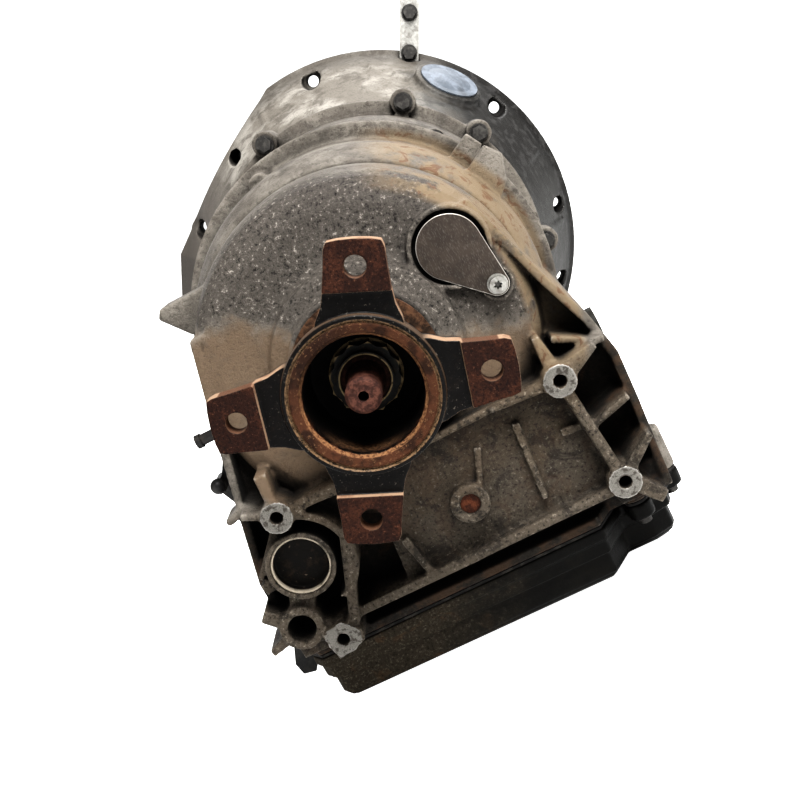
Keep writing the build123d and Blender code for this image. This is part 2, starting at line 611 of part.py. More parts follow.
def make_output_flange():
    cup = turned([
        (18.2, 57), (33, 57), (34, 56), (34, 6), (36, 1.2), (41, 0.4), (41.5, 2), (42.5, 2), (43, 0),
        (45.5, 0.6), (46, 3), (46, 10), (45, 20), (42, 34), (36, 52), (33, 62), (30, 66), (30, 91.5),
        (18.2, 91.5),
    ])
    flange = cup
    for angle in ARM_ANGLES:
        arm = [(30, -27), (42, -24), (50, -20.5), (PAD_INNER, -ARM_ROOT_HALF), (72, -17.3), (82, -ARM_HALF),
               (85.5, -15), (ARM_TIP, -9), (ARM_TIP + 0.5, 0), (ARM_TIP, 9), (85.5, 15), (82, ARM_HALF),
               (72, 17.3), (PAD_INNER, ARM_ROOT_HALF), (50, 20.5), (42, 24), (30, 27)]
        turn = radians(angle)
        outline = [(px * cos(turn) - pz * sin(turn), px * sin(turn) + pz * cos(turn)) for px, pz in arm]
        flange += prism(outline, 4.5, 4.5 + PAD_THICKNESS + 2)
        pad = [p for p in arm if p[0] >= PAD_INNER]
        pad_outline = [(px * cos(turn) - pz * sin(turn), px * sin(turn) + pz * cos(turn)) for px, pz in pad]
        flange += prism(pad_outline, 0, PAD_THICKNESS)
        gusset = rib((0, 0), polar(60, angle), 54, 10, 30, 24)
        flange += gusset & turned([(30, 10), (70, 10), (62, 16), (50, 28), (30, 32)])
        flange -= rib(polar(PAD_INNER + 1, angle), polar(ARM_TIP + 3, angle), 44, PAD_THICKNESS, 20)
    flange -= turned([(0, -5), (34, -5), (34, 57), (18.2, 57), (18.2, 100), (0, 100)])
    for index, angle in enumerate(ARM_ANGLES):
        radius = HOLE_PAIR_A if index % 2 == 0 else HOLE_PAIR_B
        flange -= rod(radius, -2, 30, *polar(FLANGE_PCD / 2, angle))
    return flange


parts["output_flange"] = make_output_flange()
parts["dust_shield"] = tube(46.5, 30.05, 68, 70)

nut = rod(16.8, 39, 46)
for turn in (0, 30):
    corners = [polar(22, turn + 60 * corner) for corner in range(6)]
    nut += prism(corners, 44.5, 57)
nut += rod(22.5, 53.5, 57)
parts["flange_nut"] = nut - rod(15.05, 38, 58)

output_shaft = turned([
    (0, 1.5), (8.5, 1.5), (PIN_RADIUS, 3.5), (PIN_RADIUS, 30), (12, 40), (15, 41), (15, 60), (18.1, 60),
    (18.1, 92), (OUTPUT_RADIUS, 92), (OUTPUT_RADIUS, 170), (26, 170), (26, 181), (0, 181),
])
parts["output_shaft"] = output_shaft - rod(3, 0, 14)

# ---------------------------------------------------------------- rear bearing and park gear
bearing = [tube(39.95, 34.6, 97, 117)]
bearing += [Pos(*(polar(30.2, i * 36)[0], 107 - LENGTH, polar(30.2, i * 36)[1])) * Sphere(3.6)
            for i in range(10)]
parts["rear_bearing"] = Compound(bearing)
parts["output_shaft"] = Compound([parts["output_shaft"], tube(26, OUTPUT_RADIUS + 0.02, 97, 117)])

park_outline = []
PARK_TEETH = 14
for tooth in range(PARK_TEETH):
    start = tooth * 360 / PARK_TEETH
    park_outline += [polar(62, start), polar(62, start + 11), polar(53, start + 14), polar(53, start + 23)]
parts["park_gear"] = prism(park_outline, 153, 167) - rod(OUTPUT_RADIUS + 0.02, 150, 170)

pawl = joined([rod(9, 154, 166, *PAWL_PIVOT), rib(PAWL_PIVOT, (24, -78), 13, 154, 166, 11),
               rib((24, -78), (-14, -84), 11, 154, 166, 8), rib((2, -80), (1, -68.5), 10, 154, 166, 6)])
parts["park_pawl"] = pawl + rod(4.6, 110, 172, *PAWL_PIVOT)

# ---------------------------------------------------------------- planetary sets
front_angles = [radians(120 * index) for index in range(PLANET_SETS)]
front_centre = (FRONT_SUN + FRONT_PLANET) * FRONT_MODULE / 2
FRONT_SET = (375.0, 400.0)
front_phases = [phase_of_mate(FRONT_SUN, 0.0, angle, FRONT_PLANET) for angle in front_angles]
for letter, angle, phase in zip("abc", front_angles, front_phases):
    x, z = front_centre * cos(angle), front_centre * sin(angle)
    parts["front_planet_" + letter] = gear(FRONT_PLANET, FRONT_MODULE, *FRONT_SET, phase, 5.5, x, z)
parts["front_sun"] = gear(FRONT_SUN, FRONT_MODULE, *FRONT_SET, 0.0, 22.05)
ring_phase = phase_of_ring(FRONT_PLANET, front_phases[0], front_angles[0], FRONT_RING)
front_ring = ring_gear(FRONT_RING, FRONT_MODULE, *FRONT_SET, ring_phase, 62)
parts["front_ring"] = front_ring + tube(62, 57.5, 362, 376) + tube(62, INPUT_RADIUS + 0.02, 362, 368)

front_carrier = tube(72, 24, 402, 408) + tube(72, 68, 315, 408) + tube(51, 31, 370, 373.5)
for angle in front_angles:
    x, z = front_centre * cos(angle), front_centre * sin(angle)
    front_carrier += rod(5.0, 370, 408, x, z)
    across = degrees(angle) + 60
    web = rib(polar(32, across), polar(49.5, across), 16, 370, 404)
    front_carrier += web
clutch_a = plate_stack(67.9, 62.1, 314, 340, 6, 2.0)
parts["front_carrier"] = Compound([front_carrier] + clutch_a)

REAR_SET = (195.0, 220.0)
LONG_SET = (195.0, 250.0)
long_centre = (LARGE_SUN + LONG_PLANET) * REAR_MODULE / 2
short_centre = (SMALL_SUN + SHORT_PLANET) * REAR_MODULE / 2
pair_centre = (LONG_PLANET + SHORT_PLANET) * REAR_MODULE / 2
offset_cosine = (long_centre ** 2 + short_centre ** 2 - pair_centre ** 2) / (2 * long_centre * short_centre)
offset_angle = acos(offset_cosine)
for index, letter in enumerate("abc"):
    long_angle = radians(90 + 120 * index)
    short_angle = long_angle + offset_angle
    lx, lz = long_centre * cos(long_angle), long_centre * sin(long_angle)
    sx, sz = short_centre * cos(short_angle), short_centre * sin(short_angle)
    short_phase = phase_of_mate(SMALL_SUN, 0.0, short_angle, SHORT_PLANET)
    long_phase = phase_of_mate(SHORT_PLANET, short_phase, atan2(lz - sz, lx - sx), LONG_PLANET)
    parts["short_planet_" + letter] = gear(SHORT_PLANET, REAR_MODULE, *REAR_SET, short_phase, 6.5, sx, sz)
    parts["long_planet_" + letter] = gear(LONG_PLANET, REAR_MODULE, *LONG_SET, long_phase, 6.5, lx, lz)
    if index == 0:
        rear_ring_phase = phase_of_ring(LONG_PLANET, long_phase, long_angle, REAR_RING)
        large_sun_phase = phase_of_mate(LONG_PLANET, long_phase, long_angle + pi, LARGE_SUN)

small_sun = gear(SMALL_SUN, REAR_MODULE, *REAR_SET, 0.0, 14.5)
small_sun += tube(21, 14.5, 219, 310) + tube(62, 14.5, 305, 310) + tube(62, 59, 309, 340)
parts["small_sun"] = small_sun

large_sun = gear(LARGE_SUN, REAR_MODULE, 230, 250, large_sun_phase, 24.5)
large_sun += tube(29, 24.5, 249, 300) + tube(90, 24.5, 295, 300) + tube(90, 86, 295, 345)
parts["large_sun"] = large_sun

rear_ring = ring_gear(REAR_RING, REAR_MODULE, *REAR_SET, rear_ring_phase, 94.5)
parts["rear_ring"] = rear_ring + tube(94.5, 88, 175, 196) + tube(94.5, 26.02, 175, 180)

rear_carrier = tube(100.5, 31, 253, 258) + tube(100.5, 97.5, 205, 258) + rod(76, 186, 190.5)
rear_carrier += rod(13, 186, 345) + tube(46, 12, 340, 345) + tube(46, 42, 325, 345)
for index in range(PLANET_SETS):
    long_angle = 90 + 120 * index
    rear_carrier += rod(6.0, 188, 256, *polar(long_centre, long_angle))
    rear_carrier += rod(6.0, 188, 228, *polar(short_centre, long_angle + degrees(offset_angle)))
    rear_carrier += rib(polar(49, long_angle + 83), polar(75, long_angle + 83), 14, 188, 256)
parts["rear_carrier"] = rear_carrier

# ---------------------------------------------------------------- clutches, brakes and pistons
clutch_e_drum = tube(56, INPUT_RADIUS + 0.02, 352, 357) + tube(56, 52, 325, 357)
parts["clutch_e"] = Compound([clutch_e_drum] + plate_stack(51.6, 46.4, 327, 339, 4, 1.6))
brake_c = plate_stack(113.9, 91.0, 302, 340, 6, 2.2)
brake_d = plate_stack(113.9, 101.5, 208, 250, 8, 2.2)
parts["brake_plates"] = Compound(brake_c + brake_d)
parts["brake_d_piston"] = tube(105.4, 102, 184, 203)

# ---------------------------------------------------------------- input side
parts["input_shaft"] = rod(INPUT_RADIUS, 352, 592)

stator_support = tube(113.7, 15.5, 435, 449.8) + tube(20, 15.5, 449, 566) + tube(22, 15.5, 371, 436)
parts["stator_support"] = stator_support

PUMP_TEETH = 23
PUMP_MODULE = 3.2
pump_ring_teeth = PUMP_TEETH + 9
pump_offset = (pump_ring_teeth - PUMP_TEETH) * PUMP_MODULE / 2
POCKET = (450.2, 462.0)
pump_housing = tube(113.7, 27.2, 450, 484) - rod(60, 449, 462.2, 0, -pump_offset)
parts["pump_housing"] = pump_housing
parts["pump_gear"] = gear(PUMP_TEETH, PUMP_MODULE, 450.6, 461.6, 0.0, 26.45)
pump_phase = phase_of_ring(PUMP_TEETH, 0.0, pi / 2, pump_ring_teeth)
pump_ring_outline = toothed_outline(pump_ring_teeth, PUMP_MODULE, pump_phase, True)
pump_ring = rod(59, 450.6, 461.6) - prism(pump_ring_outline, 450, 462)
parts["pump_ring_gear"] = Pos(0, 0, -pump_offset) * pump_ring

impeller = turned([
    (60, 492), (85, 484 + 6), (112, 496), (128, 512), (135, 536), (135, 552), (131.5, 552), (131.5, 537),
    (125, 515), (110, 500), (86, 494), (62, 496), (40, 500), (30, 502), (23.4, 500), (23.4, 452), (26.4, 452),
    (26.4, 494), (38, 496),
])
parts["impeller"] = impeller
cover_shell = turned([
    (0, 619), (19, 619), (19, 612), (60, 612), (90, 616), (124, 612), (135, 600), (135, 552.2), (131.5, 552.2),
    (131.5, 598), (122, 607), (90, 611), (60, 606), (0, 606),
])
for index in range(3):
    cover_shell += rod(11, 608, 622, *polar(112, 30 + 120 * index))
for index in range(3):
    cover_shell -= rod(4.25, 612, 623, *polar(112, 30 + 120 * index))
parts["converter_cover"] = cover_shell

turbine = turned([
    (14.05, 588), (28, 588), (30, 582), (60, 586), (100, 590), (120, 582), (128, 564), (128, 548), (124, 548),
    (124, 562), (117, 577), (99, 585), (60, 581), (24, 577), (24, 570), (14.05, 570),
])
for index in range(18):
    blade = rib(polar(72, index * 20), polar(122, index * 20), 2, 552, 584)
    turbine += blade & turned([(72, 566), (100, 554), (125, 552), (125, 563), (117, 578), (99, 586), (72, 583)])
parts["turbine"] = turbine

stator = tube(32, 20.6, 535, 560) + tube(68, 62, 538, 558)
for index in range(12):
    start, end = polar(30, index * 30), polar(64, index * 30 + 6)
    stator += rib(start, end, 3.5, 540, 556)
parts["stator"] = stator

# ---------------------------------------------------------------- hydraulic control
valve_upper = block(-127, 104, 232, 420, -150, -126)
valve_upper -= rod(5.6, 225, 320, *VALVE_AT)
for x in (-60, -30, 0, 30, 60):
    valve_upper -= block(x - 9, x + 9, 245, 405, -127.5, -120)
separator_plate = block(-127, 104, 170, 420, -151.6, -150.2)
valve_lower = block(-127, 104, 170, 420, -172, -151.8)
for depth in (200, 250, 300, 350, 400):
    valve_lower -= block(-100, 92, depth - 8, depth + 8, -174, -166)
parts["valve_body"] = Compound([valve_upper, separator_plate, valve_lower])
parts["solenoids"] = Compound([
    upright(9, -203, -172.2, -88, 190 + 32 * index) for index in range(6)
])
filter_body = block(-50, 96, 190, 400, -206, -184) + upright(16, -184, -172.2, 40, 380)
filter_body += upright(20, -212, -205, 40, 250)
parts["oil_filter"] = filter_body

manual_valve = rod(5.2, 165, 310, *VALVE_AT)
for depth in (209.0, 218.6):
    manual_valve += rod(7.5, depth, depth + 2.4, *VALVE_AT)
manual_valve -= tube(9, 3.4, 210.5, 219.5, *VALVE_AT)
parts["manual_valve"] = manual_valve

selector_y = SELECTOR_DEPTH - LENGTH
selector = Pos(-133, selector_y, SELECTOR_HEIGHT) * Rot(0, 90, 0) * Cylinder(6, 54)
quadrant_face = make_face(Polyline((-14, 16), (14, 16), (20, 2), (6, -DETENT_ARM + 9), (-6, -DETENT_ARM + 9),
                                   (-20, 2), close=True))
quadrant = extrude(Plane.YZ.offset(-112) * quadrant_face, 4)
selector += Pos(0, selector_y, SELECTOR_HEIGHT) * quadrant
finger = Pos(VALVE_AT[0] + 4, selector_y, VALVE_AT[1] + 8) * Box(14, 3.2, 4)
finger += Pos(VALVE_AT[0], selector_y, VALVE_AT[1] + 7.2) * Box(6, 3.2, 5.6)
parts["selector_shaft"] = selector + finger

lever_path = [(-152, SELECTOR_HEIGHT + 4), (-163, -62), (-149, -40), (-144, -44), (-156, -63),
              (-146, SELECTOR_HEIGHT + 2)]
lever = prism(lever_path, SELECTOR_DEPTH - 9, SELECTOR_DEPTH + 9)
lever += Pos(-149, selector_y, SELECTOR_HEIGHT) * Rot(0, 90, 0) * Cylinder(13, 8)
lever += Pos(-158, 192 - LENGTH, -54) * Sphere(6)
lever += prism([(-159, -60), (-155, -60), (-155, -50), (-159, -50)], 190, 212)
parts["selector_lever"] = lever - Pos(-149, selector_y, SELECTOR_HEIGHT) * Rot(0, 90, 0) * Cylinder(6.05, 30)

detent = block(-114, -102, 240, 262, -125.8, -124)
detent += block(-111, -105, 240, 243, -125, -78)
detent += Pos(-108, 241.5 - LENGTH, -76) * Rot(0, 90, 0) * Cylinder(3.5, 8)
parts["detent_spring"] = detent

# ---------------------------------------------------------------- connections on the right side
connector = Pos(152, 385 - LENGTH, -120) * Rot(0, 90, 0) * (Cylinder(17, 16) - Pos(0, 0, 4) * Cylinder(14, 10))
connector += Pos(139, 385 - LENGTH, -120) * Rot(0, 90, 0) * Cylinder(13, 12)
parts["connector_socket"] = connector
parts["main_case"] -= Pos(139, 385 - LENGTH, -120) * Rot(0, 90, 0) * Cylinder(13.05, 20)

# ---------------------------------------------------------------- write every sub-part
os.makedirs("parts", exist_ok=True)
for name, shape in parts.items():
    export_step(shape, "parts/" + name + ".step")
print(len(parts), "nodes")
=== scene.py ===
import json
import math

import bpy
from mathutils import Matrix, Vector

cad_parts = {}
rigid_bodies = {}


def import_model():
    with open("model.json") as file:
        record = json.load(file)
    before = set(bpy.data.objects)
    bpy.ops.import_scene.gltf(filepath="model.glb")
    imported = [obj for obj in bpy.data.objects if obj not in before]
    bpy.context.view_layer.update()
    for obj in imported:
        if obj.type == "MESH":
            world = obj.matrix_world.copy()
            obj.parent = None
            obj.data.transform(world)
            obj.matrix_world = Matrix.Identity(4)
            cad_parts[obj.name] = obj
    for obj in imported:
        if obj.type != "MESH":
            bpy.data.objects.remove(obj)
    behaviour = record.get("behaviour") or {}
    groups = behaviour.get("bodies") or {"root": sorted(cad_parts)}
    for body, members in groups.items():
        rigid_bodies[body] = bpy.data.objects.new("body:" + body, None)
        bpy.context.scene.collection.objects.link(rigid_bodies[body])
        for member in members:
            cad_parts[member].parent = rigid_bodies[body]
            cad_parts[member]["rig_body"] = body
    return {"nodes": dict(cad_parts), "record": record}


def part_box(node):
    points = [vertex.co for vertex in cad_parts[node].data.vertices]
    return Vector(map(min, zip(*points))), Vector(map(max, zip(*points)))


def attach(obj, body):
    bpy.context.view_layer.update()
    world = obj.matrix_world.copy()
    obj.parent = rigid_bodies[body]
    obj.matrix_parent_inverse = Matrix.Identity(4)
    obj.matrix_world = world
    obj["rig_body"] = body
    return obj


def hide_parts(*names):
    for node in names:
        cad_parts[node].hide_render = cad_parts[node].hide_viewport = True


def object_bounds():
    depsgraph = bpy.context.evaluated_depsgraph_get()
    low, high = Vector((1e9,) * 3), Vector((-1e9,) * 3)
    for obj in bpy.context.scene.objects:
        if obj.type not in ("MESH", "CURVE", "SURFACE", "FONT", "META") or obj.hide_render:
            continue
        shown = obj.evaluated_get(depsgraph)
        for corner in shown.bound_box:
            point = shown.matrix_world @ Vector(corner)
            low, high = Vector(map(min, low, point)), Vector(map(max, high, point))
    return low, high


# Looks of a used longitudinal automatic transmission, seen from its output flange.
# Metres, +Y along the main axis to the engine, +Z up. LENGTH runs from the flange's rim to
# the engine face, and "depth" is the distance ahead of that rim.

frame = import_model()
cad_low, cad_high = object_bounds()

LENGTH = -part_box("output_flange")[0].y

# where the finishes change
DOME_RADIUS = 0.112         # of the case's round rear end
DOME_DEPTH = 0.16
WEB_TOP = -0.066            # height below which the rear face is gritty
WEB_DEPTH = 0.133           # and how far in
POCKET_DEPTH = 0.098        # of the floor between the webs of the rear face
MACHINED_DEPTH = 0.087      # of the bosses' milled faces
MACHINED_REACH = 0.0006     # how near that depth a face counts as milled
BOSS_RADIUS = 0.0125
PAD_RADIUS = 0.0572         # where an arm's bare pad starts
PAD_DEPTH = 0.0035
ARM_THICKNESS = 0.013
CUP_RADIUS = 0.0345         # of the flange's cup, inside its rusty ring
RING_RADIUS = 0.0415
NUT_POINTS = 0.0203
NUT_BORE = 0.0150
RIM_DEPTH = 0.0955          # of the core plug's rubbed rim

CAMERA_AT = (0.0885, -1.2221, 0.1271)
CAMERA_TURN = (75.01, 27.07, 0.10)      # degrees about X, Y and Z
CAMERA_LENS = 48.97
HUNG_UP = Vector((0.455, 0.0, 0.890))   # upwards while the unit hung from its flange


# ---------------------------------------------------------------- node trees
class Finish:
    """One procedural material, written as short node calls on row-frame coordinates."""

    def __init__(self, name):
        self.material = bpy.data.materials.new(name)
        self.material.use_nodes = True
        self.tree = self.material.node_tree
        self.shader = self.tree.nodes["Principled BSDF"]
        coordinates = self.node("ShaderNodeTexCoord")
        self.place = coordinates.outputs["Object"]
        self.x, self.y, self.z = self.split(self.place)
        self.facing = self.split(coordinates.outputs["Normal"])[1]
        self.depth = self.add(self.y, LENGTH)
        self.bumps = None

    def node(self, kind, **settings):
        made = self.tree.nodes.new(kind)
        for name, value in settings.items():
            setattr(made, name, value)
        return made

    def feed(self, socket, value):
        if isinstance(value, bpy.types.NodeSocket):
            self.tree.links.new(value, socket)
        else:
            socket.default_value = value

    def split(self, vector):
        made = self.node("ShaderNodeSeparateXYZ")
        self.feed(made.inputs[0], vector)
        return made.outputs

    def math(self, operation, *values):
        made = self.node("ShaderNodeMath", operation=operation)
        for socket, value in zip(made.inputs, values):
            self.feed(socket, value)
        return made.outputs[0]

    def add(self, a, b):
        return self.math("ADD", a, b)

    def times(self, first, *others):
        result = first
        for other in others:
            result = self.math("MULTIPLY", result, other)
        return result

    def most(self, a, b):
        return self.math("MAXIMUM", a, b)

    def opposite(self, a):
        return self.math("SUBTRACT", 1.0, a)

    def fade(self, value, low, high):
        """0 below low, 1 above high."""
        made = self.node("ShaderNodeMapRange", interpolation_type="SMOOTHSTEP")
        self.feed(made.inputs["Value"], value)
        made.inputs["From Min"].default_value = low
        made.inputs["From Max"].default_value = high
        return made.outputs[0]

    def band(self, value, low, high, soft):
        """1 between low and high, with soft ends."""
        above_low = self.fade(value, low - soft, low)
        return self.times(above_low, self.opposite(self.fade(value, high, high + soft)))

    def noise(self, scale, detail=4.0, rough=0.6, warp=0.0, stretch=None):
        made = self.node("ShaderNodeTexNoise")
        vector = self.place
        if stretch:
            mapping = self.node("ShaderNodeMapping")
            self.feed(mapping.inputs["Vector"], self.place)
            mapping.inputs["Scale"].default_value = stretch
            vector = mapping.outputs[0]
        self.feed(made.inputs["Vector"], vector)
        made.inputs["Scale"].default_value = scale
        made.inputs["Detail"].default_value = detail
        made.inputs["Roughness"].default_value = rough
        made.inputs["Distortion"].default_value = warp
        return made.outputs["Fac"]

    def patches(self, scale, low, high, **more):
        return self.fade(self.noise(scale, **more), low, high)

    def distance(self, x, z):
        """Distance from a line along Y."""
        dx, dz = self.add(self.x, -x), self.add(self.z, -z)
        return self.math("SQRT", self.add(self.times(dx, dx), self.times(dz, dz)))

    def along(self, direction):
        """Height along a fixed direction."""
        made = self.node("ShaderNodeVectorMath", operation="DOT_PRODUCT")
        self.feed(made.inputs[0], self.place)
        made.inputs[1].default_value = direction
        return made.outputs["Value"]

    def edges(self, low=0.52, high=0.58):
        """1 on worn, outward edges of a fine mesh."""
        return self.fade(self.node("ShaderNodeNewGeometry").outputs["Pointiness"], low, high)

    def shaded_creases(self, low=0.42, high=0.49):
        """1 in inward corners of a fine mesh, where shade gets painted."""
        return self.opposite(self.fade(self.node("ShaderNodeNewGeometry").outputs["Pointiness"], low, high))

    def shaded_hollows(self, reach, low, high):
        """1 where neighbouring walls hide the surface, for painting shade there."""
        made = self.node("ShaderNodeAmbientOcclusion", samples=6)
        made.inputs["Distance"].default_value = reach
        return self.opposite(self.fade(made.outputs["AO"], low, high))

    def paint(self, base, *layers):
        """Colours over a base; each layer is (share, colour)."""
        result = base
        for share, colour in layers:
            made = self.node("ShaderNodeMix", data_type="RGBA")
            self.feed(made.inputs[0], share)
            self.feed(made.inputs[6], self.rgba(result))
            self.feed(made.inputs[7], self.rgba(colour))
            result = made.outputs[2]
        return result

    def rgba(self, colour):
        return colour if isinstance(colour, bpy.types.NodeSocket) else (*colour, 1.0)

    def values(self, base, *layers):
        """Numbers over a base; each layer is (share, value)."""
        result = base
        for share, value in layers:
            made = self.node("ShaderNodeMix", data_type="FLOAT")
            self.feed(made.inputs[0], share)
            self.feed(made.inputs[2], result)
            self.feed(made.inputs[3], value)
            result = made.outputs[0]
        return result

    def bump(self, height, depth):
        """Relief of so many metres; calls stack up."""
        made = self.node("ShaderNodeBump")
        made.inputs["Distance"].default_value = depth
        self.feed(made.inputs["Height"], height)
        if self.bumps:
            self.feed(made.inputs["Normal"], self.bumps)
        self.bumps = made.outputs[0]
        self.feed(self.shader.inputs["Normal"], self.bumps)

    def done(self, colour, roughness, metallic=None, shine=0.5):
        self.feed(self.shader.inputs["Base Color"], self.rgba(colour))
        self.feed(self.shader.inputs["Roughness"], roughness)
        self.feed(self.shader.inputs["Specular IOR Level"], shine)
        if metallic is not None:
            self.feed(self.shader.inputs["Metallic"], metallic)
        return self.material


# ---------------------------------------------------------------- finishes of the castings
def case_alloy():
    """Grey casting under road grime: sooty above, dusty below; pocket floors, inward corners and recesses are
    painted black as shade.
    """
    f = Finish("case_alloy")
    height = f.along(HUNG_UP)
    radius = f.distance(0, 0)
    cloud = f.noise(28, detail=5, rough=0.65)
    fine = f.noise(340, detail=6, rough=0.8)
    grain = f.noise(900, detail=3, rough=0.7)
    dome = f.times(
        f.opposite(f.fade(radius, DOME_RADIUS, DOME_RADIUS + 0.007)),
        f.opposite(f.fade(f.depth, DOME_DEPTH, DOME_DEPTH + 0.012)))
    ragged = f.add(height, f.times(f.add(cloud, -0.5), 0.05))
    soot = f.times(dome, f.fade(ragged, 0.016, 0.027))
    dust_left = f.times(dome, f.opposite(f.fade(ragged, 0.008, 0.024)))
    lower = f.times(
        f.opposite(f.fade(f.z, WEB_TOP, WEB_TOP + 0.014)),
        f.opposite(f.fade(f.depth, WEB_DEPTH, WEB_DEPTH + 0.017)))
    # Floor of the pockets between the webs: painted near black as shade, with real stains over it
    shaded_pocket_floor = f.times(lower, f.fade(f.depth, POCKET_DEPTH, POCKET_DEPTH + 0.014))
    shoulder = f.times(f.band(radius, 0.108, 0.135, 0.006), f.fade(f.x, 0.04, 0.08))
    salt = f.fade(fine, 0.56, 0.66)
    pepper = f.opposite(f.fade(fine, 0.38, 0.47))
    stain = f.patches(55, 0.45, 0.62, detail=6, rough=0.7, warp=0.4)
    # Recesses hidden by neighbouring walls: painted shade; also rougher and less metallic there
    hollow_shade = f.shaded_hollows(0.022, 0.35, 0.85)
    edge = f.times(f.edges(0.53, 0.6), f.fade(fine, 0.35, 0.6))
    # Inward corners: painted shade
    crease_shade = f.shaded_creases()
    blotch = f.patches(46, 0.5, 0.6, detail=7, rough=0.75, warp=0.6)
    streak = f.patches(34, 0.55, 0.68, detail=7, stretch=(1.0, 0.12, 1.0))
    colour = f.paint(
        (0.125, 0.112, 0.096),
        (f.fade(cloud, 0.42, 0.62), (0.20, 0.182, 0.158)),
        (f.times(stain, 0.6), (0.062, 0.052, 0.043)),
        (f.times(streak, f.times(f.fade(f.depth, 0.17, 0.19), 0.6)), (0.05, 0.044, 0.038)),
        (f.times(f.fade(grain, 0.56, 0.7), 0.35), (0.30, 0.28, 0.25)),
        (f.times(pepper, 0.55), (0.03, 0.026, 0.021)),
        (f.times(dust_left, 0.9), (0.135, 0.096, 0.063)),
        (f.times(dust_left, f.patches(60, 0.52, 0.66), 0.5), (0.095, 0.075, 0.056)),
        (f.times(soot, 0.93), (0.055, 0.048, 0.042)),
        (f.times(soot, f.opposite(f.fade(height, 0.06, 0.115)), 0.35), (0.10, 0.088, 0.074)),
        (f.times(soot, salt, 0.8), (0.34, 0.31, 0.275)),
        (f.times(soot, pepper, 0.95), (0.008, 0.007, 0.006)),
        (f.times(dust_left, pepper, 0.3), (0.06, 0.045, 0.032)),
        (f.times(shoulder, f.times(f.fade(cloud, 0.35, 0.5), 0.85)), (0.185, 0.140, 0.090)),
        (f.times(shoulder, f.patches(90, 0.56, 0.62, warp=1.0), 0.7), (0.11, 0.055, 0.03)),
        (f.times(lower, 0.85), (0.072, 0.057, 0.041)),
        (f.times(lower, blotch, 0.8), (0.022, 0.018, 0.014)),
        (f.times(lower, salt, 0.7), (0.30, 0.265, 0.215)),
        (f.times(lower, pepper, 0.92), (0.010, 0.008, 0.006)),
        # painted shade: pocket floors near black
        (f.times(shaded_pocket_floor, 0.85), (0.011, 0.009, 0.007)),
        (f.times(shaded_pocket_floor, stain, 0.6), (0.070, 0.040, 0.022)),
        # painted shade in inward corners and in recesses
        (f.times(crease_shade, 0.8), (0.012, 0.010, 0.009)),
        (f.times(hollow_shade, 0.94), (0.006, 0.005, 0.004)),
        (f.times(edge, 0.75), (0.36, 0.325, 0.275)),
    )
    roughness = f.values(0.55, (cloud, 0.7), (hollow_shade, 0.85), (f.times(edge, 0.6), 0.38), (soot, 0.62))
    f.bump(grain, 0.0006)
    f.bump(fine, 0.0011)
    f.bump(cloud, 0.0015)
    return f.done(colour, roughness, f.values(0.12, (hollow_shade, 0.0), (stain, 0.05)), 0.25)


def bell_alloy():
    """Cleaner casting: pale above and darker below by painted shade, oily black on the right."""
    f = Finish("bell_alloy")
    height = f.along(HUNG_UP)
    cloud = f.noise(20, detail=5, rough=0.6)
    fine = f.noise(500, detail=4, rough=0.7)
    stain = f.patches(38, 0.48, 0.62, detail=6, rough=0.7, warp=0.5)
    side = f.add(f.x, f.times(f.add(cloud, -0.5), 0.10))
    oily = f.times(f.fade(side, 0.085, 0.15), f.opposite(f.fade(f.z, 0.125, 0.19)))
    outer = f.fade(f.add(f.distance(0, 0), f.times(f.add(cloud, -0.5), 0.02)), 0.19, 0.207)
    left = f.opposite(f.fade(side, -0.16, -0.09))
    # Darker towards the bottom, on the side turned away from the light: painted shade
    low = f.opposite(f.fade(height, -0.06, 0.05))
    # Recesses hidden by neighbouring walls: painted shade; also rougher there
    hollow_shade = f.shaded_hollows(0.025, 0.3, 0.8)
    edge = f.edges(0.53, 0.6)
    colour = f.paint(
        (0.145, 0.131, 0.112),
        (f.fade(cloud, 0.42, 0.62), (0.285, 0.267, 0.238)),
        (f.times(stain, 0.7), (0.075, 0.065, 0.054)),
        (f.times(f.opposite(f.fade(fine, 0.36, 0.45)), 0.6), (0.05, 0.044, 0.037)),
        (f.times(left, 0.75), (0.095, 0.082, 0.070)),
        (f.times(outer, 0.6), (0.055, 0.049, 0.043)),
        # painted shade towards the bottom
        (f.times(low, 0.75), (0.07, 0.061, 0.052)),
        (f.times(oily, 0.95), (0.012, 0.0115, 0.011)),
        (f.times(f.patches(90, 0.5, 0.62), f.times(oily, 0.5)), (0.06, 0.058, 0.056)),
        # painted shade in inward corners and in recesses
        (f.times(f.shaded_creases(), 0.7), (0.016, 0.014, 0.013)),
        (f.times(hollow_shade, 0.88), (0.012, 0.011, 0.010)),
        (f.times(edge, 0.5), (0.42, 0.40, 0.37)),
    )
    roughness = f.values(0.66, (cloud, 0.8), (oily, 0.5), (hollow_shade, 0.85))
    f.bump(fine, 0.0004)
    f.bump(cloud, 0.001)
    return f.done(colour, roughness, 0.0, 0.22)


def machined_face():
    """Milled boss face with faint tool marks."""
    f = Finish("machined_face")
    swirl = f.noise(1500, detail=2, stretch=(1.0, 0.05, 1.0))
    cloud = f.noise(240, detail=5, rough=0.7)
    colour = f.paint(
        (0.115, 0.108, 0.096),
        (f.fade(swirl, 0.45, 0.6), (0.165, 0.157, 0.142)),
        (f.patches(300, 0.5, 0.62), (0.05, 0.043, 0.036)),
        (f.times(f.edges(), 0.6), (0.55, 0.53, 0.5)),
        # painted shade in recesses
        (f.times(f.shaded_hollows(0.008, 0.3, 0.8), 0.9), (0.03, 0.026, 0.022)),
    )
    f.bump(swirl, 0.00012)
    return f.done(colour, f.values(0.42, (cloud, 0.6)), 0.45)


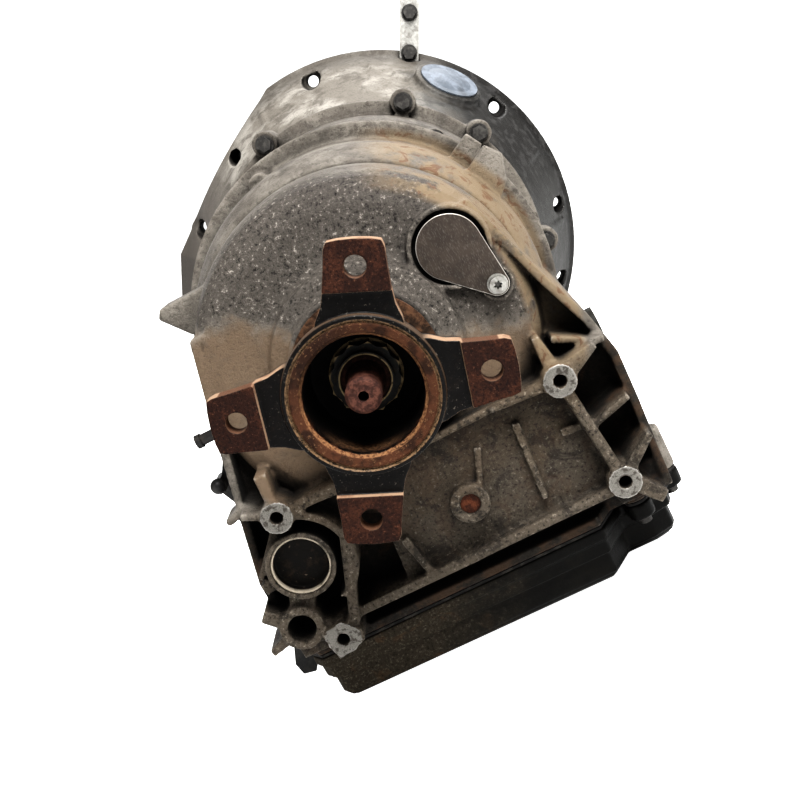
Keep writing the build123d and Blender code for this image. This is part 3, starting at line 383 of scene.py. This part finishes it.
def cover_plate():
    f = Finish("cover_plate")
    grain = f.noise(1600, detail=3, stretch=(1.0, 1.0, 0.25))
    cloud = f.noise(70, detail=5, rough=0.65)
    stain = f.patches(46, 0.52, 0.66, warp=0.6)
    colour = f.paint(
        (0.066, 0.053, 0.044),
        (f.fade(cloud, 0.4, 0.62), (0.048, 0.039, 0.033)),
        (f.times(f.fade(grain, 0.5, 0.7), 0.35), (0.17, 0.155, 0.14)),
        (f.times(stain, 0.45), (0.042, 0.036, 0.031)),
        (f.times(f.edges(0.51, 0.56), 0.9), (0.66, 0.63, 0.58)),
    )
    f.bump(grain, 0.00008)
    f.bump(cloud, 0.0003)
    return f.done(colour, f.values(0.42, (cloud, 0.52)), 0.5, 0.3)


def pan_plastic():
    """Black moulded plastic, dusty on the left and rear walls."""
    f = Finish("pan_plastic")
    cloud = f.noise(30, detail=6, rough=0.7)
    fine = f.noise(520, detail=4, rough=0.75)
    dusty = f.times(f.opposite(f.fade(f.add(f.x, f.times(f.add(cloud, -0.5), 0.16)), -0.06, 0.03)),
                    f.opposite(f.fade(f.depth, 0.16, 0.3)))
    film = f.patches(60, 0.46, 0.64, detail=6, rough=0.7)
    colour = f.paint(
        (0.004, 0.0038, 0.0034),
        (f.times(film, 0.4), (0.010, 0.009, 0.007)),
        (f.times(dusty, 0.85), (0.040, 0.033, 0.024)),
        (f.times(dusty, f.fade(fine, 0.54, 0.64), 0.55), (0.115, 0.10, 0.08)),
        (f.times(dusty, f.patches(42, 0.58, 0.68, warp=0.8), 0.35), (0.085, 0.05, 0.028)),
        (f.times(f.opposite(f.fade(fine, 0.36, 0.45)), 0.7), (0.006, 0.0055, 0.005)),
        (f.times(f.edges(0.54, 0.6), 0.4), (0.05, 0.046, 0.04)),
        # painted shade in recesses
        (f.times(f.shaded_hollows(0.015, 0.3, 0.8), 0.85), (0.004, 0.0036, 0.003)),
    )
    f.bump(fine, 0.0002)
    f.bump(cloud, 0.0006)
    return f.done(colour, f.values(0.36, (film, 0.5), (dusty, 0.78)), shine=0.09)


# ---------------------------------------------------------------- finishes of the steel parts
def flange_steel():
    """Forged flange: black paint, bare rusted pads and a rust ring inside the cup's rim."""
    f = Finish("rusty_flange")
    radius = f.distance(0, 0)
    cloud = f.noise(75, detail=6, rough=0.7)
    fine = f.noise(600, detail=5, rough=0.8)
    front = f.fade(f.times(f.facing, -1.0), 0.75, 0.92)
    wobble = f.times(f.add(f.noise(260), -0.5), 0.002)
    ragged = f.add(radius, wobble)
    pad = f.times(
        f.fade(ragged, PAD_RADIUS, PAD_RADIUS + 0.001), front,
        f.opposite(f.fade(f.depth, PAD_DEPTH, PAD_DEPTH + 0.001)))
    steep = f.math("ABSOLUTE", f.facing)
    # Side walls of the arms: painted a pale peach as a painted highlight, with real rust patches on it
    side = f.times(
        f.opposite(f.fade(steep, 0.35, 0.65)), f.fade(radius, 0.044, 0.05),
        f.opposite(f.fade(f.depth, ARM_THICKNESS, ARM_THICKNESS + 0.003)))
    ring = f.times(
        f.band(ragged, CUP_RADIUS, RING_RADIUS, 0.0006),
        f.opposite(f.fade(f.depth, 0.008, 0.02)))
    lip = f.times(f.band(radius, CUP_RADIUS, CUP_RADIUS + 0.0011, 0.0004), ring)
    rim = f.times(
        f.band(radius, RING_RADIUS, RING_RADIUS + 0.0017, 0.0004),
        f.opposite(f.fade(f.depth, 0.002, 0.004)))
    # Inside of the cup beyond its mouth: painted near black as shade
    inside = f.times(
        f.opposite(f.fade(radius, CUP_RADIUS - 0.0007, CUP_RADIUS)),
        f.fade(f.depth, 0.006, 0.014))
    hole = f.times(f.opposite(f.fade(steep, 0.3, 0.6)), f.band(radius, 0.0625, 0.08, 0.001))
    height = f.along(HUNG_UP)
    low = f.opposite(f.fade(height, -0.02, 0.03))
    # Lower inner wall of the cup, where light falls in: a painted pool of light, speckled like rust
    lit_wall = f.times(
        inside, f.opposite(f.fade(height, -0.036, -0.022)),
        f.opposite(f.fade(f.depth, 0.012, 0.03)))
    # The lower side and the right-hand side of the flange face the light: the ring's rust is painted brighter
    # there as painted light
    right = f.fade(f.x, -0.01, 0.03)
    painted_light_side = f.most(low, right)
    flakes = f.patches(420, 0.6, 0.66, detail=5, rough=0.8)
    colour = f.paint(
        (0.0035, 0.0030, 0.0028),
        (f.times(f.fade(cloud, 0.52, 0.72), 0.4), (0.020, 0.014, 0.010)),
        (f.times(flakes, 0.7), (0.17, 0.15, 0.125)),
        # painted highlight on the arm sides; the next layer adds rust patches
        (f.times(side, 0.95), (0.27, 0.185, 0.125)),
        (f.times(side, f.fade(cloud, 0.5, 0.62), 0.55), (0.12, 0.05, 0.028)),
        (f.times(hole, 0.9), (0.075, 0.035, 0.02)),
        (f.times(pad, 0.98), (0.022, 0.0085, 0.0055)),
        (f.times(pad, f.fade(cloud, 0.46, 0.62), 0.7), (0.052, 0.020, 0.011)),
        (f.times(pad, f.opposite(f.fade(fine, 0.4, 0.5)), 0.9), (0.007, 0.004, 0.0035)),
        (f.times(pad, f.fade(fine, 0.58, 0.66), 0.5), (0.20, 0.10, 0.06)),
        (f.times(ring, 0.95), (0.024, 0.011, 0.007)),
        # painted light: brighter rust on the ring's lit side
        (f.times(ring, painted_light_side, 0.6), (0.085, 0.035, 0.017)),
        (f.times(ring, f.fade(cloud, 0.46, 0.58), 0.8), (0.012, 0.006, 0.004)),
        (f.times(ring, f.fade(fine, 0.56, 0.64), 0.5), (0.22, 0.12, 0.06)),
        # painted highlight on the lip of the cup, on its lit side
        (f.times(lip, painted_light_side, f.times(f.fade(fine, 0.4, 0.55), 0.8)), (0.22, 0.12, 0.06)),
        (f.times(rim, f.fade(fine, 0.38, 0.55), 0.7), (0.20, 0.13, 0.075)),
        # painted shade: the inside of the cup near black
        (f.times(inside, 0.95), (0.004, 0.003, 0.0025)),
        # painted pool of light on the lower inner wall of the cup
        (f.times(lit_wall, f.fade(fine, 0.38, 0.6), 0.8), (0.17, 0.095, 0.05)),
        (f.times(f.edges(0.53, 0.6), f.fade(fine, 0.4, 0.6), 0.7), (0.36, 0.215, 0.135)),
        # painted shade in inward corners
        (f.times(f.shaded_creases(), 0.5), (0.006, 0.005, 0.0045)),
    )
    # Pads, ring and arm sides, for roughness and relief; the arm sides' pale peach colour is a painted
    # highlight
    rusted = f.most(f.most(pad, ring), side)
    f.bump(f.times(fine, f.add(f.times(rusted, 0.8), 0.25)), 0.0006)
    f.bump(cloud, 0.0006)
    return f.done(colour, f.values(0.32, (cloud, 0.42), (rusted, 0.74), (inside, 0.6)), 0.0, 0.14)


def rusty_steel(name, dark, light, scale=160):
    f = Finish(name)
    cloud = f.noise(scale, detail=6, rough=0.7)
    fine = f.noise(scale * 6, detail=4, rough=0.8)
    pale = tuple(min(1.0, 1.9 * part) for part in light)
    colour = f.paint(
        dark,
        (f.fade(cloud, 0.4, 0.62), light),
        (f.times(f.opposite(f.fade(fine, 0.36, 0.46)), 0.7), tuple(0.35 * part for part in dark)),
        (f.times(f.fade(fine, 0.6, 0.7), 0.5), pale),
        # painted shade in recesses
        (f.times(f.shaded_hollows(0.006, 0.3, 0.8), 0.8), (0.012, 0.01, 0.009)),
    )
    f.bump(fine, 0.0003)
    f.bump(cloud, 0.0004)
    return f.done(colour, f.values(0.62, (cloud, 0.8)), 0.0, 0.15)


def plain_metal(name, base, worn, grime, roughness=0.35, metallic=0.9, scale=180, dirt=0.5):
    """Machined, plated or cast metal with finger-sized clouds, fine scratches, patches of dirt and painted
    shade in its corners.
    """
    f = Finish(name)
    cloud = f.noise(scale, detail=5, rough=0.65)
    scratch = f.noise(scale * 7, detail=3, rough=0.6, stretch=(1.0, 0.2, 1.0))
    colour = f.paint(
        base,
        (f.fade(cloud, 0.42, 0.64), worn),
        (f.times(f.fade(scratch, 0.58, 0.7), 0.35), tuple(min(1.0, 1.4 * part) for part in worn)),
        (f.times(f.patches(scale * 0.6, 0.5, 0.66, warp=0.5), dirt), grime),
        # painted shade in recesses: the grime colour darkened to a quarter
        (f.times(f.shaded_hollows(0.006, 0.25, 0.8), 0.85), tuple(0.25 * part for part in grime)),
    )
    f.bump(scratch, 0.00006)
    f.bump(cloud, 0.0001)
    return f.done(colour, f.values(roughness, (cloud, roughness + 0.15)), metallic)


def dark_rubber(name):
    f = Finish(name)
    cloud = f.noise(90, detail=5, rough=0.7)
    colour = f.paint((0.014, 0.013, 0.013), (f.fade(cloud, 0.45, 0.65), (0.04, 0.037, 0.033)))
    f.bump(cloud, 0.0003)
    return f.done(colour, f.values(0.6, (cloud, 0.75)), shine=0.12)


def oily_nut():
    """Nut black with old grease, only its points and its bore rubbed to bronze."""
    f = Finish("nut_steel")
    cloud = f.noise(220, detail=5, rough=0.7)
    radius = f.distance(0, 0)
    rubbed = f.most(
        f.fade(radius, NUT_POINTS, NUT_POINTS + 0.0009),
        f.band(radius, NUT_BORE, NUT_BORE + 0.0008, 0.0003))
    colour = f.paint(
        (0.007, 0.006, 0.005),
        (f.fade(cloud, 0.5, 0.7), (0.035, 0.026, 0.016)),
        (f.times(rubbed, f.fade(cloud, 0.3, 0.5)), (0.23, 0.175, 0.10)),
    )
    f.bump(cloud, 0.0004)
    return f.done(colour, f.values(0.4, (cloud, 0.6)), f.values(0.0, (rubbed, 0.5)), 0.3)


def core_plug_steel():
    """Pressed plug filled with oily dirt, its rim rubbed bright."""
    f = Finish("core_plug_steel")
    cloud = f.noise(130, detail=6, rough=0.7)
    rim = f.opposite(f.fade(f.depth, RIM_DEPTH, RIM_DEPTH + 0.003))
    colour = f.paint(
        (0.006, 0.005, 0.004),
        (f.fade(cloud, 0.5, 0.66), (0.022, 0.015, 0.010)),
        (f.patches(300, 0.64, 0.72), (0.12, 0.09, 0.065)),
        (f.times(rim, f.fade(cloud, 0.3, 0.55)), (0.42, 0.37, 0.30)),
    )
    f.bump(cloud, 0.0012)
    return f.done(colour, f.values(0.45, (cloud, 0.75)), f.values(0.0, (rim, 0.4)), 0.15)


FINISHES = {
    "case_alloy": case_alloy(),
    "bell_alloy": bell_alloy(),
    "machined_face": machined_face(),
    "cover_plate": cover_plate(),
    "pan_plastic": pan_plastic(),
    "rusty_flange": flange_steel(),
    "core_plug_steel": core_plug_steel(),
    "rusty_steel": rusty_steel("rusty_steel", (0.035, 0.013, 0.008), (0.10, 0.036, 0.018)),
    "rust_pin": rusty_steel("rust_pin", (0.030, 0.013, 0.010), (0.090, 0.040, 0.028), 260),
    "orange_rust": rusty_steel("orange_rust", (0.025, 0.016, 0.011), (0.12, 0.065, 0.038), 90),
    "zinc_steel": plain_metal("zinc_steel", (0.40, 0.39, 0.365), (0.56, 0.55, 0.52), (0.10, 0.085, 0.07)),
    "dark_bolts": plain_metal("dark_bolts", (0.032, 0.030, 0.028), (0.07, 0.066, 0.06), (0.014, 0.012, 0.011),
                              0.5, 0.4),
    "bright_plug": plain_metal("bright_plug", (0.10, 0.115, 0.135), (0.17, 0.19, 0.22), (0.04, 0.04, 0.04),
                               0.5, 0.3, 60, 0.45),
    "gasket_rubber": dark_rubber("gasket_rubber"),
    "dark_steel": plain_metal("dark_steel", (0.014, 0.0135, 0.0135), (0.03, 0.028, 0.026),
                              (0.05, 0.042, 0.033), 0.42, 0.3, 90),
    "nut_steel": oily_nut(),
    "shaft_steel": plain_metal("shaft_steel", (0.42, 0.41, 0.39), (0.56, 0.55, 0.53), (0.25, 0.22, 0.18),
                               0.25),
    "gear_steel": plain_metal("gear_steel", (0.38, 0.37, 0.35), (0.52, 0.51, 0.49), (0.24, 0.19, 0.12), 0.28),
    "drum_steel": plain_metal("drum_steel", (0.33, 0.32, 0.30), (0.47, 0.46, 0.43), (0.22, 0.17, 0.11), 0.34),
    "converter_steel": plain_metal("converter_steel", (0.10, 0.096, 0.09), (0.17, 0.163, 0.15),
                                   (0.09, 0.055, 0.034), 0.42, 0.8, 60),
    "stator_alloy": plain_metal("stator_alloy", (0.52, 0.51, 0.49), (0.64, 0.63, 0.61), (0.34, 0.30, 0.24),
                                0.42, 0.8),
}
NODE_FINISHES = {
    "output_shaft": "rust_pin",
    "dust_shield": "orange_rust",
    "centre_plug": "rusty_steel",
    "core_plug": "core_plug_steel",
    "bell_bolts": "dark_bolts",
    "pan_bolts": "dark_bolts",
    "flange_nut": "nut_steel",
}
SLOTS = [entry["slot"] for entry in frame["record"]["materials"]]


# ---------------------------------------------------------------- castings
def cast(node, finish, grain, rounds, triangles):
    """Copy of a CAD node with the soft edges and filled corners of a casting."""
    body = frame["nodes"][node]["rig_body"]
    piece = bpy.data.objects.new(node + "_cast", frame["nodes"][node].data.copy())
    bpy.context.scene.collection.objects.link(piece)
    remesh = piece.modifiers.new("grain", "REMESH")
    remesh.mode = "VOXEL"
    remesh.voxel_size = grain
    soften = piece.modifiers.new("soften", "SMOOTH")
    soften.factor = 0.5
    soften.iterations = rounds
    evaluated = piece.evaluated_get(bpy.context.evaluated_depsgraph_get())
    piece.data = bpy.data.meshes.new_from_object(evaluated)
    piece.modifiers.clear()
    thin = piece.modifiers.new("thin", "DECIMATE")
    thin.ratio = min(1.0, triangles / (2 * len(piece.data.polygons)))
    evaluated = piece.evaluated_get(bpy.context.evaluated_depsgraph_get())
    piece.data = bpy.data.meshes.new_from_object(evaluated)
    piece.modifiers.clear()
    piece.data.shade_smooth()
    piece.data.materials.clear()
    piece.data.materials.append(FINISHES[finish])
    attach(piece, body)
    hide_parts(node)
    return piece


MOUNTS = frame["record"]["mounts"]
BOSSES = [Vector(mount["pos_m"]) for mount in MOUNTS if mount["name"].startswith("mount_")]


def machine(piece):
    """Give the milled faces of the case's bosses their own finish."""
    piece.data.materials.append(FINISHES["machined_face"])
    for polygon in piece.data.polygons:
        if abs(polygon.center.y + LENGTH - MACHINED_DEPTH) > MACHINED_REACH:
            continue
        across = [math.hypot(polygon.center.x - boss.x, polygon.center.z - boss.z) for boss in BOSSES]
        if min(across) < BOSS_RADIUS:
            polygon.material_index = 1


machine(cast("main_case", "case_alloy", grain=0.0013, rounds=3, triangles=190000))
cast("bell_housing", "bell_alloy", grain=0.0018, rounds=4, triangles=150000)
cast("output_flange", "rusty_flange", grain=0.0006, rounds=3, triangles=150000)
cast("oil_pan", "pan_plastic", grain=0.0013, rounds=4, triangles=120000)
cast("sensor_cover", "cover_plate", grain=0.00035, rounds=2, triangles=40000)
cast("core_plug", "core_plug_steel", grain=0.0005, rounds=3, triangles=20000)

# ---------------------------------------------------------------- the other nodes keep their CAD shape
slot_of_node = {}
for name, node in frame["nodes"].items():
    current = node.data.materials[0].name if node.data.materials else ""
    slot_of_node[name] = next((slot for slot in SLOTS if current.startswith(slot)), "gear_steel")
for name, node in frame["nodes"].items():
    finish = FINISHES[NODE_FINISHES.get(name, slot_of_node[name])]
    node.data.materials.clear()
    node.data.materials.append(finish)

# ---------------------------------------------------------------- stage
centre = (cad_low + cad_high) / 2
FLOOR_SIZE = 40.0
FLOOR_GLOW = 0.72           # what the camera sees on top of the floor's own light
BACKDROP = 1.0              # white behind the object, for the camera alone
AMBIENT = 0.34              # soft light from all round

floor_mesh = bpy.data.meshes.new("floor")
half = FLOOR_SIZE / 2
floor_corners = [(x, y, cad_low.z) for x, y in ((-half, -half), (half, -half), (half, half), (-half, half))]
floor_mesh.from_pydata(floor_corners, [], [(0, 1, 2, 3)])
floor = bpy.data.objects.new("floor", floor_mesh)
bpy.context.scene.collection.objects.link(floor)
floor_finish = Finish("floor")
floor_tone = floor_finish.paint((0.84, 0.84, 0.83), (floor_finish.noise(3.0), (0.86, 0.86, 0.85)))
floor_finish.shader.inputs["Emission Color"].default_value = (1.0, 1.0, 1.0, 1.0)
seen = floor_finish.node("ShaderNodeLightPath").outputs["Is Camera Ray"]
floor_finish.feed(floor_finish.shader.inputs["Emission Strength"], floor_finish.times(seen, FLOOR_GLOW))
floor.data.materials.append(floor_finish.done(floor_tone, 0.8))

world = bpy.data.worlds.new("studio")
world.use_nodes = True
background = world.node_tree.nodes["Background"]
background.inputs["Color"].default_value = (1.0, 1.0, 1.0, 1.0)
rays = world.node_tree.nodes.new("ShaderNodeLightPath")
strength = world.node_tree.nodes.new("ShaderNodeMapRange")
strength.inputs["To Min"].default_value = AMBIENT
strength.inputs["To Max"].default_value = BACKDROP
world.node_tree.links.new(rays.outputs["Is Camera Ray"], strength.inputs["Value"])
world.node_tree.links.new(strength.outputs[0], background.inputs["Strength"])
bpy.context.scene.world = world
bpy.context.scene.view_settings.view_transform = "Standard"
bpy.context.scene.view_settings.look = "High Contrast"


def softbox(name, direction, distance, size, power):
    """Square lamp that faces the object from a direction."""
    lamp = bpy.data.lights.new(name, "AREA")
    lamp.shape = "SQUARE"
    lamp.size = size
    lamp.energy = power
    holder = bpy.data.objects.new(name, lamp)
    holder.location = centre + Vector(direction).normalized() * distance
    holder.rotation_euler = (centre - holder.location).to_track_quat("-Z", "Y").to_euler()
    bpy.context.scene.collection.objects.link(holder)


softbox("key", (0.55, -0.75, 1.1), distance=1.8, size=0.8, power=74)
softbox("fill", (-1.2, -1.2, 0.3), distance=2.2, size=1.2, power=9)
softbox("rim", (0.6, 1.1, 1.0), distance=2.2, size=1.0, power=22)
softbox("back", (-0.8, 1.3, 0.2), distance=2.4, size=1.2, power=10)

camera_data = bpy.data.cameras.new("camera")
camera_data.lens = CAMERA_LENS
camera = bpy.data.objects.new("camera", camera_data)
camera.location = CAMERA_AT
camera.rotation_euler = [math.radians(turn) for turn in CAMERA_TURN]
bpy.context.scene.collection.objects.link(camera)
bpy.context.scene.camera = camera
